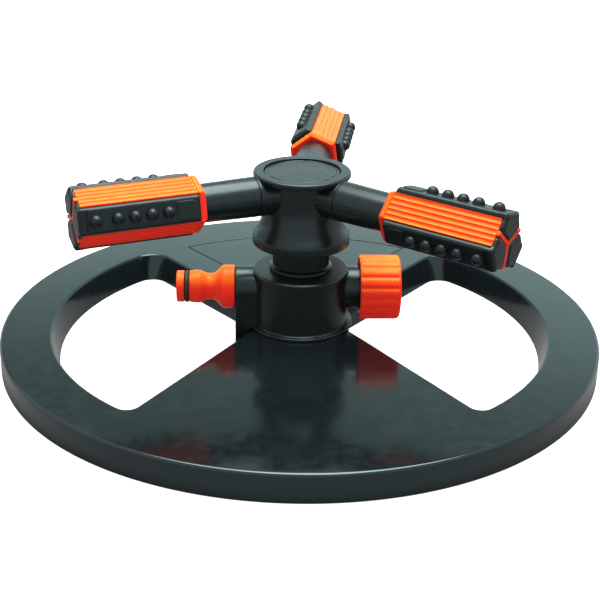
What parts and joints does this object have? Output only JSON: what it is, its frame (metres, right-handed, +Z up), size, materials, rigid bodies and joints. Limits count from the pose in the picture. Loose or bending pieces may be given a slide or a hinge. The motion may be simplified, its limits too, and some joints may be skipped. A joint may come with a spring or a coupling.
{
  "type": "garden sprinkler",
  "caption": "Rotating lawn sprinkler: round windowed base, water body with hose nipple and capped outlet, and a free rotor with horizontal arms and turnable nozzle heads.",
  "frame": {"origin": "on the rotor's axis, at the underside of the base", "axes": "+Z up along the rotor's axis, -X towards the hose nipple, +X towards the capped outlet, -Y towards the picture's camera"},
  "size_m": [0.31, 0.31, 0.1046],
  "materials": {
    "black_plastic": "polished injection-moulded ABS",
    "black_nozzle_plastic": "satin injection-moulded ABS",
    "orange_plastic": "glossy injection-moulded ABS",
    "black_rubber": "matt moulded rubber",
    "white_acetal": "turned acetal",
    "zinc_steel": "zinc-plated steel"
  },
  "bodies": {
    "base": {"base_plate": "black_plastic", "base_screw_1": "zinc_steel", "base_screw_2": "zinc_steel", "base_screw_3": "zinc_steel", "base_screw_4": "zinc_steel", "water_body": "black_plastic", "inlet_nipple": "orange_plastic", "nipple_o_ring": "black_rubber", "inlet_washer": "black_rubber", "pivot_neck": "black_plastic", "shaft_seal": "black_rubber", "lower_thrust_washer": "white_acetal", "upper_thrust_washer": "white_acetal", "retaining_nut": "white_acetal"},
    "rotor": {"rotor_hub": "black_plastic", "hub_cap": "black_plastic", "bearing_bush": "white_acetal", "arm_tube_1": "black_plastic", "arm_tube_2": "black_plastic", "arm_tube_3": "black_plastic", "head_seal_1": "black_rubber", "head_seal_2": "black_rubber", "head_seal_3": "black_rubber", "head_clip_1": "zinc_steel", "head_clip_2": "zinc_steel", "head_clip_3": "zinc_steel"},
    "head_1": {"head_barrel_1": "orange_plastic", "nozzle_strip_1_1": "black_nozzle_plastic", "nozzle_strip_1_2": "black_nozzle_plastic", "nozzle_strip_1_3": "black_nozzle_plastic"},
    "head_2": {"head_barrel_2": "orange_plastic", "nozzle_strip_2_1": "black_nozzle_plastic", "nozzle_strip_2_2": "black_nozzle_plastic", "nozzle_strip_2_3": "black_nozzle_plastic"},
    "head_3": {"head_barrel_3": "orange_plastic", "nozzle_strip_3_1": "black_nozzle_plastic", "nozzle_strip_3_2": "black_nozzle_plastic", "nozzle_strip_3_3": "black_nozzle_plastic"},
    "outlet_washer": {"cap_washer": "black_rubber"},
    "outlet_cap": {"end_cap": "orange_plastic"}
  },
  "joints": [
    {"name": "rotor_spin", "type": "hinge", "parent": "base", "child": "rotor", "pos_m": [0, 0, 0.0783], "axis": [0, 0, 1], "continuous": true},
    {"name": "head_1_swivel", "type": "hinge", "parent": "rotor", "child": "head_1", "pos_m": [0, 0, 0.0867], "axis": [0.1444, 0.9895, 0], "continuous": true},
    {"name": "head_2_swivel", "type": "hinge", "parent": "rotor", "child": "head_2", "pos_m": [0, 0, 0.0867], "axis": [-0.9291, -0.3697, 0], "continuous": true},
    {"name": "head_3_swivel", "type": "hinge", "parent": "rotor", "child": "head_3", "pos_m": [0, 0, 0.0867], "axis": [0.7848, -0.6198, 0], "continuous": true},
    {"name": "cap_travel", "type": "slide", "parent": "base", "child": "outlet_washer", "axis": [1, 0, 0], "range_m": [0, 0.0127]},
    {"name": "cap_turn", "type": "hinge", "parent": "outlet_washer", "child": "outlet_cap", "pos_m": [0.0469, 0, 0.034], "axis": [1, 0, 0], "range_deg": [0, 2520]}
  ],
  "couplings": [
    {"joint": "cap_travel", "follows": "cap_turn", "m_per_rad": 0.00028871}
  ]
}
